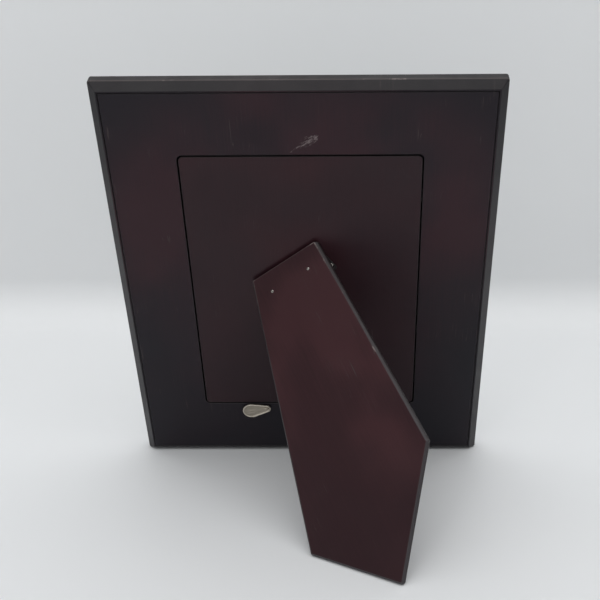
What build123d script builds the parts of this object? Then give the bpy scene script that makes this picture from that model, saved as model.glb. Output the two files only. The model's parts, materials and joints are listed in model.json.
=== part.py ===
from build123d import *
import os
from math import cos, radians, sin

# A table-top picture frame standing on its easel leg, leaning back, with the picture towards -Y.
# Lengths are in millimetres and angles in degrees.
# Back view words are used throughout: "across" runs to the right as seen from behind the frame,
# "up" runs up the slab, and "out" points away from the slab's back.

os.makedirs("parts", exist_ok=True)

# Driving dimensions: how the frame stands
lean = 15.5                    # how far the slab leans back from upright
leg_open = 45.6                # angle between the leg and the back panel
hinge_tilt = 37.5              # how far the hinge line rises across the panel

# The slab, one routed board
frame_width = 216.0
frame_height = 267.0
back_bevel = 4.3
edge_flat = 5.0
front_bevel = 4.5
slab_thick = back_bevel + edge_flat + front_bevel

# The pocket in its back and the sight opening in its front
pocket_width = 132.0
pocket_height = 181.6
pocket_radius = 3.0
pocket_bottom = 43.6
pocket_depth = 9.2
sight_lip = 6.0
sight_radius = 1.5
sight_bevel = 2.6

# What the pocket holds
insert_width = 127.0
insert_height = 178.0
insert_gap = 0.1
glass_thick = 2.0
print_thick = 0.3
filler_thick = 3.4

# The back panel, with a tongue along its top edge
panel_thick = 3.0
panel_recess = 0.1
panel_side_gap = 0.8
panel_bottom_gap = 0.8
panel_top_gap = 1.1
panel_radius = 2.4
tongue_width = 100.0
tongue_length = 3.0
tongue_thick = 1.4
groove_play = 1.0
groove_depth = 2.6
groove_front = 1.3             # room in front of the tongue, for the panel to tip out
groove_back = 0.3              # room behind the tongue
groove_start = 6.0             # the groove's cutter starts this far inside the open pocket

# The easel leg
leg_thick = 3.2
leg_top_left = -24.3           # across from the hinge's middle
leg_top_right = 23.3
leg_top_reach = 4.45           # how far the leg runs past the hinge pin, to rest on the panel
leg_left_flare = 14.35
leg_right_flare = 3.55
foot_corner_across = -18.85    # where the square foot corner lies, across from the hinge's middle
leg_corner_radius = 1.8
leg_ease = 1.2                 # chamfer round the outer face, but for its top edge

# The hinge, its middle measured from the slab's centre line and bottom edge
hinge_across = -7.4
hinge_up = 151.7
axis_height = 1.9              # pin centre over the panel, and under the leg
leaf_thick = 0.8
leaf_shift = -1.5              # the hinge sits a little left of the leg's middle
knuckle_radius = 1.6
knuckle_length = 10.8
knuckle_gap = 0.3
pin_radius = 0.8
running_gap = 0.05
plate_start = 2.1              # where a leaf's plate begins, clear of the other leaf's knuckles
panel_leaf_width = 44.6
panel_leaf_length = 16.5
leg_leaf_width = 33.0
leg_leaf_length = 12.0
leaf_corner_radius = 1.5

# Rivets
rivet_radius = 0.7
rivet_head_radius = 1.1
rivet_head_height = 0.45
rivet_tail_radius = 0.95
leg_rivet_spacing = 26.3
leg_rivet_down = 6.9
panel_rivet_spacing = 41.4
panel_rivet_down = 12.7
blind_depth = 2.4              # how deep a panel rivet goes into the panel

# The turn button and its pin
button_across = -27.6
button_up = 39.9
button_angle = 190.0           # which way the rounded end points, seen from behind
button_length = 9.8            # pivot to the middle of the rounded end
button_small_radius = 2.8
button_large_radius = 5.6
button_thick = 1.1
button_dish = 0.45
button_rim = 1.0
button_boss_radius = 2.3
button_boss_height = 0.5
button_pin_radius = 0.9
button_pin_head_radius = 1.35
button_pin_head_height = 0.6
button_pin_depth = 7.0
button_rest_gap = 0.15

# Directions in the part's frame
across = Vector(-1, 0, 0)
up_slab = Vector(0, sin(radians(lean)), cos(radians(lean)))
out_back = Vector(0, cos(radians(lean)), -sin(radians(lean)))


def slab_plane(contact_y):
    """The plane where the back bevel meets the edge; its X line at the bottom touches the table."""
    return Plane(origin=(0, contact_y, 0), x_dir=across, z_dir=out_back)


def hinge_plane_on(slab):
    """The plane through the hinge pin, parallel to the panel, with X along the pin."""
    along_pin = across * cos(radians(hinge_tilt)) + up_slab * sin(radians(hinge_tilt))
    height = back_bevel - panel_recess + axis_height
    pin_middle = slab.from_local_coords(Vector(hinge_across, hinge_up, height))
    return Plane(origin=pin_middle, x_dir=along_pin, z_dir=out_back)


def swung_open(plane):
    """The leg's plane: the hinge plane turned about the pin until the leg's foot is out."""
    outward = plane.z_dir * cos(radians(leg_open)) + plane.y_dir * sin(radians(leg_open))
    return Plane(origin=plane.origin, x_dir=plane.x_dir, z_dir=outward)


def crossing(start, direction, other_start, other_direction):
    """Where two lines in one plane cross."""
    between = other_start - start
    turn = direction.X * other_direction.Y - direction.Y * other_direction.X
    steps = (between.X * other_direction.Y - between.Y * other_direction.X) / turn
    return start + direction * steps


def direction_at(angle):
    """A unit direction in a plane, from its angle."""
    return Vector(cos(radians(angle)), sin(radians(angle)))


def leg_outline(plane):
    """The leg's five corners in its own plane, with the portrait foot lying along the table."""
    inner_lift = axis_height * plane.z_dir.Z

    def table_line(a):
        return -(plane.origin.Z + inner_lift + a * plane.x_dir.Z) / plane.y_dir.Z

    top_left = Vector(leg_top_left, leg_top_reach)
    top_right = Vector(leg_top_right, leg_top_reach)
    foot_corner = Vector(foot_corner_across, table_line(foot_corner_across))
    along_foot = (Vector(0, table_line(0)) - foot_corner).normalized()
    square_to_foot = Vector(-along_foot.Y, along_foot.X)
    left_side = direction_at(-90 - leg_left_flare)
    right_side = direction_at(-90 + leg_right_flare)
    foot_left = crossing(top_left, left_side, foot_corner, along_foot)
    right_corner = crossing(top_right, right_side, foot_corner, square_to_foot)
    return [top_left, top_right, right_corner, foot_corner, foot_left]


def leg_board(plane):
    """The five-sided leg in its own plane, with its rivet holes and its outer edges eased."""
    with BuildPart() as board:
        with BuildSketch(plane.offset(axis_height)):
            with BuildLine():
                Polyline(leg_outline(plane), close=True)
            make_face()
            fillet(vertices().sort_by(Axis.Y)[1:3], leg_corner_radius)
            with Locations((leaf_shift, -leg_rivet_down)):
                with GridLocations(leg_rivet_spacing, 1, 2, 1):
                    Circle(rivet_radius, mode=Mode.SUBTRACT)
        extrude(amount=leg_thick)
        outer_wire = faces().sort_by(Axis(plane.origin, plane.z_dir))[-1].outer_wire()
        top_edge = outer_wire.edges().sort_by(Axis(plane.origin, plane.y_dir))[-1]
        chamfer([edge for edge in outer_wire.edges() if edge != top_edge], leg_ease)
    return board


# The origin is under the middle of the whole object, so the contact line moves forward by half
# of what the foot reaches back past it, less half of what the front bevel reaches forward.
trial_slab = slab_plane(0)
foot_reach = leg_board(swung_open(hinge_plane_on(trial_slab))).part.bounding_box().max.Y
front_reach = trial_slab.from_local_coords(Vector(0, front_bevel, -edge_flat - front_bevel)).Y

slab = slab_plane(-(foot_reach + front_reach) / 2)
hinge_plane = hinge_plane_on(slab)
leg_plane = swung_open(hinge_plane)
pin_plane = Plane(origin=hinge_plane.origin, x_dir=hinge_plane.z_dir, z_dir=hinge_plane.x_dir)
out_axis = Axis(slab.origin, out_back)

# Levels along "out", from the slab plane
back_face = back_bevel
front_face = -edge_flat - front_bevel
pocket_floor = back_face - pocket_depth
panel_back = back_face - panel_recess
panel_front = panel_back - panel_thick
tongue_middle = panel_front + tongue_thick / 2
pocket_middle = pocket_bottom + pocket_height / 2
pocket_top = pocket_bottom + pocket_height
panel_height = pocket_height - panel_bottom_gap - panel_top_gap
panel_bottom = pocket_bottom + panel_bottom_gap
panel_top = panel_bottom + panel_height

finished = []


def finish(builder, name):
    """Label a finished piece and write it."""
    builder.part.label = name
    export_step(builder.part, f"parts/{name}.step")
    finished.append(builder.part)
    box = builder.part.bounding_box()
    print(name, "size", [round(v, 1) for v in tuple(box.size)])


# Frame slab: bevelled back and front, a pocket for the picture, and a sight opening
with BuildPart() as frame_slab:
    with BuildSketch(slab.offset(front_face)):
        with Locations((0, frame_height / 2)):
            Rectangle(frame_width, frame_height)
    extrude(amount=slab_thick)
    chamfer(faces().filter_by(slab).sort_by(out_axis)[-1].edges(), back_bevel)
    chamfer(faces().filter_by(slab).sort_by(out_axis)[0].edges(), front_bevel)
    with BuildSketch(slab.offset(back_face)):
        with Locations((0, pocket_middle)):
            RectangleRounded(pocket_width, pocket_height, pocket_radius)
    extrude(amount=-pocket_depth, mode=Mode.SUBTRACT)
    with BuildSketch(slab.offset(pocket_floor)):
        with Locations((0, pocket_middle)):
            RectangleRounded(pocket_width - 2 * sight_lip, pocket_height - 2 * sight_lip, sight_radius)
    extrude(amount=front_face - pocket_floor, mode=Mode.SUBTRACT)
    sight_edges = faces().filter_by(slab).sort_by(out_axis)[0].inner_wires()[0].edges()
    chamfer(sight_edges, sight_bevel)
    with BuildSketch(slab.offset(panel_front - groove_front)):
        with Locations((0, pocket_top + (groove_depth - groove_start) / 2)):
            Rectangle(tongue_width + 2 * groove_play, groove_depth + groove_start)
    extrude(amount=groove_front + tongue_thick + groove_back, mode=Mode.SUBTRACT)
    with BuildSketch(slab.offset(back_face)):
        with Locations((button_across, button_up)):
            Circle(button_pin_radius)
    extrude(amount=-button_pin_depth, mode=Mode.SUBTRACT)
finish(frame_slab, "frame_slab")


def insert_sheet(level, thick):
    """A flat sheet the size of the picture, standing on the pocket's lower edge."""
    with BuildSketch(slab.offset(level)) as sheet:
        with Locations((0, pocket_bottom + insert_gap + insert_height / 2)):
            Rectangle(insert_width, insert_height)
    extrude(sheet.sketch, amount=thick)


with BuildPart() as glass_pane:
    insert_sheet(pocket_floor, glass_thick)
finish(glass_pane, "glass_pane")

with BuildPart() as picture_print:
    insert_sheet(pocket_floor + glass_thick, print_thick)
finish(picture_print, "picture_print")

with BuildPart() as filler_board:
    insert_sheet(pocket_floor + glass_thick + print_thick, filler_thick)
finish(filler_board, "filler_board")

# Back panel: a loose fit in the pocket, with a tongue that hooks under the pocket's top edge
with BuildPart() as back_panel:
    with BuildSketch(slab.offset(panel_front)):
        with Locations((0, panel_bottom + panel_height / 2)):
            RectangleRounded(pocket_width - 2 * panel_side_gap, panel_height, panel_radius)
    extrude(amount=panel_thick)
    with BuildSketch(slab.offset(panel_front)):
        with Locations((0, panel_top)):
            Rectangle(tongue_width, 2 * tongue_length)
    extrude(amount=tongue_thick)
    with BuildSketch(hinge_plane.offset(-axis_height)):
        with Locations((leaf_shift, -panel_rivet_down)):
            with GridLocations(panel_rivet_spacing, 1, 2, 1):
                Circle(rivet_radius)
    extrude(amount=-blind_depth, mode=Mode.SUBTRACT)
finish(back_panel, "back_panel")

# Easel leg: it rests its top edge on the panel when open
easel_leg = leg_board(leg_plane)
finish(easel_leg, "easel_leg")


def leaf(plane, level, plate, knuckles, bore, rivet_spacing, rivet_down):
    """One hinge leaf: a plate, its rolled knuckles with the pin's bore, and two rivet holes."""
    plate_width, plate_length = plate
    with BuildSketch(plane.offset(level)) as outline:
        with Locations((leaf_shift, -(plate_start + plate_length) / 2)):
            RectangleRounded(plate_width, plate_length - plate_start, leaf_corner_radius)
        for middle, length in knuckles:
            with Locations((leaf_shift + middle, -plate_start)):
                Rectangle(length, 2 * plate_start)
        with Locations((leaf_shift, -rivet_down)):
            with GridLocations(rivet_spacing, 1, 2, 1):
                Circle(rivet_radius, mode=Mode.SUBTRACT)
    extrude(outline.sketch, amount=leaf_thick)
    for middle, length in knuckles:
        with BuildSketch(pin_plane.offset(leaf_shift + middle - length / 2)) as knuckle:
            Circle(knuckle_radius)
        extrude(knuckle.sketch, amount=length)
    for middle, length in knuckles:
        with BuildSketch(pin_plane.offset(leaf_shift + middle - length / 2)) as pin_bore:
            Circle(bore)
        extrude(pin_bore.sketch, amount=length, mode=Mode.SUBTRACT)


knuckle_step = knuckle_length + knuckle_gap
with BuildPart() as hinge_panel_leaf:
    leaf(
        hinge_plane,
        -axis_height,
        (panel_leaf_width, panel_leaf_length),
        [(-knuckle_step, knuckle_length), (knuckle_step, knuckle_length)],
        pin_radius,
        panel_rivet_spacing,
        panel_rivet_down,
    )
finish(hinge_panel_leaf, "hinge_panel_leaf")

with BuildPart() as hinge_leg_leaf:
    leaf(
        leg_plane,
        axis_height - leaf_thick,
        (leg_leaf_width, leg_leaf_length),
        [(0, knuckle_length)],
        pin_radius + running_gap,
        leg_rivet_spacing,
        leg_rivet_down,
    )
finish(hinge_leg_leaf, "hinge_leg_leaf")

pin_length = 3 * knuckle_length + 2 * knuckle_gap
with BuildPart() as hinge_pin:
    with BuildSketch(pin_plane.offset(leaf_shift - pin_length / 2)):
        Circle(pin_radius)
    extrude(amount=pin_length)
finish(hinge_pin, "hinge_pin")


def rivet(plane, a, b, shank_from, shank_to, tail_height):
    """A rivet standing along the plane's Z: a low head at its top end and, if asked, a small tail."""
    side = Plane(origin=plane.from_local_coords(Vector(a, b, 0)), x_dir=plane.x_dir, z_dir=-plane.y_dir)
    with BuildSketch(side) as profile:
        with BuildLine():
            foot = (0, shank_from - tail_height)
            if tail_height:
                tail_edge = (rivet_tail_radius, shank_from)
                Spline(foot, tail_edge, tangents=((1, 0), (0.3, 1)))
                Line(tail_edge, (rivet_radius, shank_from))
            else:
                Line(foot, (rivet_radius, shank_from))
            Line((rivet_radius, shank_from), (rivet_radius, shank_to))
            Line((rivet_radius, shank_to), (rivet_head_radius, shank_to))
            head_top = (0, shank_to + rivet_head_height)
            Spline((rivet_head_radius, shank_to), head_top, tangents=((-0.3, 1), (-1, 0)))
            Line(head_top, foot)
        make_face()
    revolve(profile.sketch, axis=Axis(side.origin, plane.z_dir))


# Leg rivets: heads under the leaf, small bright domed tails on the leg's outer face
leg_outer = axis_height + leg_thick
leg_rivet_plane = Plane(origin=leg_plane.origin, x_dir=leg_plane.x_dir, z_dir=-leg_plane.z_dir)
with BuildPart() as leg_rivets:
    for side_sign in (-1, 1):
        rivet(
            leg_rivet_plane,
            leaf_shift + side_sign * leg_rivet_spacing / 2,
            leg_rivet_down,
            -leg_outer,
            leaf_thick - axis_height,
            0.4,
        )
finish(leg_rivets, "leg_rivets")

# Panel rivets: low heads over the leaf, shanks held blind in the panel
with BuildPart() as panel_rivets:
    for side_sign in (-1, 1):
        rivet(
            hinge_plane,
            leaf_shift + side_sign * panel_rivet_spacing / 2,
            -panel_rivet_down,
            -axis_height - blind_depth,
            leaf_thick - axis_height,
            0,
        )
finish(panel_rivets, "panel_rivets")

# Turn button: a dished teardrop on a short boss, swivelling about its pin
button_pivot = slab.from_local_coords(Vector(button_across, button_up, back_face))
button_x = across * cos(radians(button_angle)) + up_slab * sin(radians(button_angle))
button_plane = Plane(origin=button_pivot, x_dir=button_x, z_dir=out_back)
button_under = button_rest_gap + button_boss_height
button_top = button_under + button_thick


def teardrop(shrink):
    """A small circle at the pivot and a large one at the free end, joined by their tangents."""
    Circle(button_small_radius - shrink)
    with Locations((button_length, 0)):
        Circle(button_large_radius - shrink)
    make_hull()


with BuildPart() as turn_button:
    with BuildSketch(button_plane.offset(button_under)):
        teardrop(0)
    extrude(amount=button_thick)
    fillet(faces().filter_by(slab).sort_by(out_axis)[-1].edges(), 0.3)
    with BuildSketch(button_plane.offset(button_top)):
        teardrop(button_rim)
    extrude(amount=-button_dish, mode=Mode.SUBTRACT)
    with BuildSketch(button_plane.offset(button_rest_gap)):
        Circle(button_boss_radius)
    extrude(amount=button_boss_height)
    with BuildSketch(button_plane):
        Circle(button_pin_radius + running_gap)
    extrude(amount=button_top, mode=Mode.SUBTRACT)
finish(turn_button, "turn_button")

pin_head_level = button_top - button_dish + running_gap
with BuildPart() as turn_button_pin:
    pin_side = Plane(origin=button_pivot, x_dir=button_x, z_dir=-button_plane.y_dir)
    with BuildSketch(pin_side):
        with BuildLine():
            head_top = (0, pin_head_level + button_pin_head_height)
            Polyline(
                head_top,
                (0, -button_pin_depth),
                (button_pin_radius, -button_pin_depth + button_pin_radius),
                (button_pin_radius, pin_head_level),
                (button_pin_head_radius, pin_head_level),
            )
            Spline((button_pin_head_radius, pin_head_level), head_top, tangents=((-0.3, 1), (-1, 0)))
        make_face()
    revolve(axis=Axis(button_pivot, out_back))
finish(turn_button_pin, "turn_button_pin")

# Where the joints lie, for whoever sets them up
tip_axis = slab.from_local_coords(Vector(0, panel_top, tongue_middle))
print("panel tips about", [round(v, 3) for v in tuple(tip_axis)], "axis X")
print("leg pivots about", [round(v, 3) for v in tuple(hinge_plane.origin)])
print("leg axis", [round(v, 6) for v in tuple(hinge_plane.x_dir)])
print("button pivots about", [round(v, 3) for v in tuple(button_pivot)])
print("button axis", [round(v, 6) for v in tuple(out_back)])
print("contact line at Y", round(slab.origin.Y, 3))
whole = Compound(children=finished).bounding_box()
print("whole", [round(v, 3) for v in tuple(whole.min)], [round(v, 3) for v in tuple(whole.max)])
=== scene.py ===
# %% [markdown]
# # A table-top picture frame, seen from behind
#
# This lesson dresses a small wooden picture frame that leans back on its easel leg. The frame's parts
# arrive from the design as plain solids in their true places. Each step below builds one real piece
# again as a finely edged mesh, or one finish as a node material, and hangs it on the body it moves with.

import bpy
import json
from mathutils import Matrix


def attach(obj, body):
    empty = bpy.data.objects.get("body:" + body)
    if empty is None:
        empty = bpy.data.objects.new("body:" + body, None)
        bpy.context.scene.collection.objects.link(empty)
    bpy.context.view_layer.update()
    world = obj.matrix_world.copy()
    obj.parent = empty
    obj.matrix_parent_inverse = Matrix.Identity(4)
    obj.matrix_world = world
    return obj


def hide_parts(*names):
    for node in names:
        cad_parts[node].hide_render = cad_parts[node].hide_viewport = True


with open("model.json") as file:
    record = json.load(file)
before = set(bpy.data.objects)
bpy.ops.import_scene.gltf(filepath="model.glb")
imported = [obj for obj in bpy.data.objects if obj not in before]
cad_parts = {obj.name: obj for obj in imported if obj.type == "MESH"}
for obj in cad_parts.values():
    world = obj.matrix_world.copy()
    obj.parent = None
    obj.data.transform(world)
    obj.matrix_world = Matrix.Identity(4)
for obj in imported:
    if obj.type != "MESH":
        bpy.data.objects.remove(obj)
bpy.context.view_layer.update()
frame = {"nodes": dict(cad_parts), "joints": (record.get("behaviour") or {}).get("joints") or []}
print("nodes:", sorted(frame["nodes"]))

# %% [markdown]
# ## Directions on a leaning board
#
# Nothing on this object is level: the board leans back, and the leg stands off it at an angle. Working in
# world axes would fill every line with sines. Instead each board gets its own axes, read from the joints,
# and every piece is modelled flat in those axes and then placed with one matrix.

# %% Axes of the board, read from the joints
import json
import math

import bmesh
import bpy
from mathutils import Matrix, Vector

mm = 0.001
joints = {joint["name"]: joint for joint in frame["joints"]}
across = Vector((-1, 0, 0))
out = -Vector(joints["button_swivel"]["axis"])
up = Vector((0, -out.z, out.y))
print("the board leans back", round(math.degrees(math.asin(up.y)), 2), "degrees")


def axes_at(origin, x_axis, z_axis):
    """A matrix that carries a piece modelled flat at the world's origin to its real place."""
    y_axis = z_axis.cross(x_axis)
    matrix = Matrix((x_axis, y_axis, z_axis)).transposed().to_4x4()
    matrix.translation = origin
    return matrix


# %% Where the board, leg and button stand
back_bevel = 4.3 * mm
button_pivot = Vector(joints["button_swivel"]["pos_m"])
board_origin = button_pivot - out * back_bevel
board_origin -= up * (board_origin.z / up.z)
board_origin.x = 0
board_axes = axes_at(board_origin, across, out)

pin_middle = Vector(joints["leg_fold"]["pos_m"])
pin_direction = Vector(joints["leg_fold"]["axis"])
leg_open = math.radians(joints["leg_fold"]["range_deg"][1])
hinge_axes = axes_at(pin_middle, pin_direction, out)
leg_out = out * math.cos(leg_open) + out.cross(pin_direction) * math.sin(leg_open)
leg_axes = axes_at(pin_middle, pin_direction, leg_out)


def span(node, axes):
    """How far a design node reaches along each of a board's axes: its lowest and highest corner."""
    inverse = axes.inverted()
    points = [inverse @ vertex.co for vertex in frame["nodes"][node].data.vertices]
    low = Vector(min(p[i] for p in points) for i in range(3))
    high = Vector(max(p[i] for p in points) for i in range(3))
    return low, high


slab_low, slab_high = span("frame_slab", board_axes)
panel_low, panel_high = span("back_panel", board_axes)
leg_low, leg_high = span("easel_leg", leg_axes)
print("board, mm:", [round(v / mm, 1) for v in slab_high - slab_low])
print("leg, mm:", [round(v / mm, 1) for v in leg_high - leg_low])

# %% [markdown]
# ## The camera
#
# The frame is looked at from behind and a little above, nearly square on, with a lens that is slightly
# longer than normal so that the board's sides stay calm. The camera is aimed by two points, where it
# stands and what it looks at, because those are easy to read and to change. A small sideways shift moves
# the object in the picture without turning the camera, so upright lines keep their slant.

# %% Set the camera
camera_stands = Vector((-28.4, 541.9, 362.2)) * mm
camera_looks_at = Vector((-17.6, -87.1, 97.9)) * mm
camera_roll = math.radians(-0.55)
focal_length = 63.5

camera_data = bpy.data.cameras.new("camera")
camera = bpy.data.objects.new("camera", camera_data)
bpy.context.scene.collection.objects.link(camera)
camera_data.lens = focal_length
camera_data.sensor_width = 36
camera_data.shift_x = -0.062
camera_data.clip_start = 0.01
gaze = (camera_looks_at - camera_stands).to_track_quat("-Z", "Y")
camera.location = camera_stands
camera.rotation_mode = "QUATERNION"
camera.rotation_quaternion = gaze @ Matrix.Rotation(camera_roll, 3, "Z").to_quaternion()
bpy.context.scene.camera = camera
print("camera distance, mm:", round((camera_stands - camera_looks_at).length / mm))

# %% [markdown]
# ## Outlines with rounded corners
#
# Almost every piece here is a sheet or board cut to an outline: the frame, the panel, the glass, the leg.
# A cube with a bevel modifier would round all its edges alike. A real board has one radius at its corners
# in plan and a much finer one along its edges. So one helper walks round any convex outline and gives back
# its points, rounded at the corners and moved in or out by any distance.


# %% The outline helper
def outline(corners, radius, inset=0.0, corner_steps=5):
    """Points round a convex outline, anticlockwise, with its corners rounded and its sides moved in."""
    points = []
    count = len(corners)
    smallest_bend = 0.12 * mm
    bend = max(radius - inset, smallest_bend)
    for i in range(count):
        before = (corners[i] - corners[i - 1]).normalized()
        after = (corners[(i + 1) % count] - corners[i]).normalized()
        inward_before = Vector((-before.y, before.x))
        inward_after = Vector((-after.y, after.x))
        reach = (inset + bend) / (1 + inward_before.dot(inward_after))
        centre = corners[i] + (inward_before + inward_after) * reach
        turn = before.angle_signed(after) * -1
        for k in range(corner_steps + 1):
            spoke = Matrix.Rotation(turn * k / corner_steps, 2) @ -inward_before
            points.append(centre + spoke * bend)
    return points


def rectangle(left, right, bottom, top):
    """The corners of a rectangle, anticlockwise from the lower left."""
    return [Vector((left, bottom)), Vector((right, bottom)), Vector((right, top)), Vector((left, top))]


print("points round a test square:", len(outline(rectangle(0, 1, 0, 1), 0.1)))

# %% [markdown]
# ## From a profile to a skin
#
# A router makes a frame's edge by running one profile round the board. The mesh is made the same way: a
# profile is a short list of (inset, height) points, each becomes one loop of the outline, and neighbouring
# loops are joined by quads. Sharp profile points are softened into small arcs, since no real edge is
# perfectly sharp and the arc is what catches the light. The points also carry what the materials read
# later: "wear" says how much hands rub the finish there, from 0 on the flats to 1 on the most exposed
# arrises, "cut" is 1 on the board's cut sides and a half on its bevels, and "place" keeps where the point
# lay on the flat board, because the finishes are patterned in those axes.


# %% Soften a profile and skin it
def soften(profile, radius=0.35 * mm, guard=0.5 * mm, steps=3):
    """Round a profile's inner points into small arcs. Gives (inset, height, wear) for every loop.

    A profile point may carry its own wear as a third number."""
    points = [Vector(p[:2]) for p in profile]
    wears = [p[2] if len(p) > 2 else 0.0 for p in profile]
    softened = [(points[0].x, points[0].y, 0.0)]
    for before, corner, after, wear in zip(points, points[1:], points[2:], wears[1:]):
        back = (before - corner).normalized()
        ahead = (after - corner).normalized()
        room = 0.45 * min((before - corner).length, (after - corner).length)
        reach = min(radius, 0.7 * room)
        edge = min(reach + guard, room)
        start = corner + back * reach
        end = corner + ahead * reach
        softened.append((*(corner + back * edge), 0.0))
        for k in range(steps + 1):
            t = k / steps
            place = start * (1 - t) ** 2 + corner * 2 * t * (1 - t) + end * t**2
            softened.append((*place, wear))
        softened.append((*(corner + ahead * edge), 0.0))
    softened.append((points[-1].x, points[-1].y, 0.0))
    return softened


def loops_from(corners, radius, profile):
    """One loop of 3-D points, with its wear, for each (inset, height, wear) of a softened profile."""
    made = []
    for inset, height, wear in profile:
        ring = [Vector((p.x, p.y, height)) for p in outline(corners, radius, inset)]
        made.append((ring, wear))
    return made


def skin(builder, loops, joined_ends=False):
    """Join loops with quads in a bmesh and close the two ends with a face each, or join them up."""
    wear_layer = builder.verts.layers.float["wear"]
    rings = []
    for points, wear in loops:
        ring = [builder.verts.new(p) for p in points]
        for vertex in ring:
            vertex[wear_layer] = wear
        rings.append(ring)
    pairs = list(zip(rings, rings[1:]))
    if joined_ends:
        pairs.append((rings[-1], rings[0]))
    for lower, upper in pairs:
        for i in range(len(lower)):
            j = (i + 1) % len(lower)
            builder.faces.new((lower[i], lower[j], upper[j], upper[i]))
    if not joined_ends:
        builder.faces.new(list(reversed(rings[0])))
        builder.faces.new(rings[-1])


def new_builder():
    """An empty bmesh whose points carry wear and cut."""
    builder = bmesh.new()
    builder.verts.layers.float.new("wear")
    builder.verts.layers.float.new("cut")
    return builder


def remember_place(mesh):
    """Store each point's present place in the mesh, so a finish can follow it wherever it moves."""
    places = [value for vertex in mesh.vertices for value in vertex.co]
    mesh.attributes.new("place", "FLOAT_VECTOR", "POINT").data.foreach_set("vector", places)


def piece_from(builder, name, axes, body, node, smooth_angle=40):
    """Turn a bmesh into a finished piece: placed, smooth-shaded, riding its body, standing for its node."""
    bmesh.ops.recalc_face_normals(builder, faces=builder.faces)
    mesh = bpy.data.meshes.new(name)
    builder.to_mesh(mesh)
    builder.free()
    piece = bpy.data.objects.new(name, mesh)
    bpy.context.scene.collection.objects.link(piece)
    mesh.shade_smooth()
    mesh.set_sharp_from_angle(angle=math.radians(smooth_angle))
    weighted = piece.modifiers.new("even shading", "WEIGHTED_NORMAL")
    weighted.keep_sharp = True
    remember_place(mesh)
    mesh.transform(axes)
    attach(piece, body)
    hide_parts(node)
    print(name, "faces:", len(mesh.polygons))
    return piece


def mark_cut_sides(builder):
    """Write cut into the points of cut faces: 1 on sides square to the board, a half on bevels."""
    cut_layer = builder.verts.layers.float["cut"]
    builder.normal_update()
    for steepest, value in ((0.8, 0.5), (0.2, 1.0)):
        for face in builder.faces:
            if abs(face.normal.z) < steepest:
                for vertex in face.verts:
                    vertex[cut_layer] = value


# %% [markdown]
# ## The frame board
#
# The frame is one board with everything routed into it, which is why it shows no mitre joints. Its skin is
# a single closed tube of loops: down the outer edge with a bevel in front and behind, across the back, into
# the pocket that holds the picture, and out again through the sight opening. A fine groove runs round the
# back just inside the bevel, where the cutter's shoulder touched.

# %% The frame board's profile and skin
board_radius = 1.4 * mm
front_bevel = 4.5 * mm
shoulder_groove = (5.0 * mm, 5.3 * mm, 5.6 * mm)
groove_depth = 0.9 * mm
pocket_depth = 9.2 * mm
pocket_radius = 3.0 * mm
pocket_side_gap = 0.8 * mm
pocket_top_gap = 1.1 * mm
sight_lip = 6.0 * mm
sight_bevel = 2.6 * mm
sight_radius = 1.5 * mm
sight_margin = 1.5 * mm
face_margin = 4.0 * mm
tongue_length = 3.0 * mm

back_level = slab_high.z
front_level = slab_low.z
pocket_level = back_level - pocket_depth
board_corners = rectangle(slab_low.x, slab_high.x, slab_low.y, slab_high.y)
pocket_corners = rectangle(
    panel_low.x - pocket_side_gap,
    panel_high.x + pocket_side_gap,
    panel_low.y - pocket_side_gap,
    panel_high.y - tongue_length + pocket_top_gap,
)
sight_corners = rectangle(
    pocket_corners[0].x + sight_lip,
    pocket_corners[2].x - sight_lip,
    pocket_corners[0].y + sight_lip,
    pocket_corners[2].y - sight_lip,
)
edge_profile = [
    (front_bevel + face_margin, front_level),
    (front_bevel, front_level, 0.4),
    (0, front_level + front_bevel, 0.8),
    (0, back_level - back_bevel, 1.0),
    (back_bevel, back_level, 0.35),
    (shoulder_groove[0], back_level),
    (shoulder_groove[1], back_level - groove_depth),
    (shoulder_groove[2], back_level),
    (shoulder_groove[2] + face_margin, back_level),
]
pocket_profile = [
    (-face_margin, back_level),
    (0, back_level),
    (0, pocket_level),
    (face_margin, pocket_level),
]
sight_profile = [
    (-sight_margin, pocket_level),
    (0, pocket_level),
    (0, front_level + sight_bevel),
    (-sight_bevel, front_level),
    (-sight_bevel - face_margin, front_level),
]
slab_builder = new_builder()
slab_loops = (
    loops_from(board_corners, board_radius, soften(edge_profile))
    + loops_from(pocket_corners, pocket_radius, soften(pocket_profile))
    + loops_from(sight_corners, sight_radius, soften(sight_profile))
)
skin(slab_builder, slab_loops, joined_ends=True)
print("loops round the board:", len(slab_loops))

# %% [markdown]
# ## A groove for the tongue
#
# The back panel has no screws: a tongue on its top edge hooks under the frame, and a turn button holds its
# bottom edge. Groove and tongue are the same move, one pushed into a wall and one pulled out of it: inset a
# small face in the wall, set its corners, and extrude it. That keeps the mesh closed, with no boolean.


# %% Push a groove or tongue out of a wall
def push_from_wall(builder, wall_up, facing, half_width, levels, reach):
    """Move part of the wall at a height up the board by reach. facing is 1 for an upward wall, or -1."""
    bmesh.ops.recalc_face_normals(builder, faces=builder.faces)
    walls = [
        face
        for face in builder.faces
        if face.normal.y * facing > 0.99 and abs(face.calc_center_median().y - wall_up) < 0.05 * mm
    ]
    wall = max(walls, key=lambda face: face.calc_area())
    bmesh.ops.inset_individual(builder, faces=[wall], thickness=0.1 * mm)
    middle = wall.calc_center_median().z
    for vertex in wall.verts:
        vertex.co.x = math.copysign(half_width, vertex.co.x)
        vertex.co.z = levels[0] if vertex.co.z < middle else levels[1]
    pushed = bmesh.ops.extrude_discrete_faces(builder, faces=[wall])["faces"][0]
    bmesh.ops.translate(builder, verts=pushed.verts, vec=(0, reach, 0))


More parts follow.
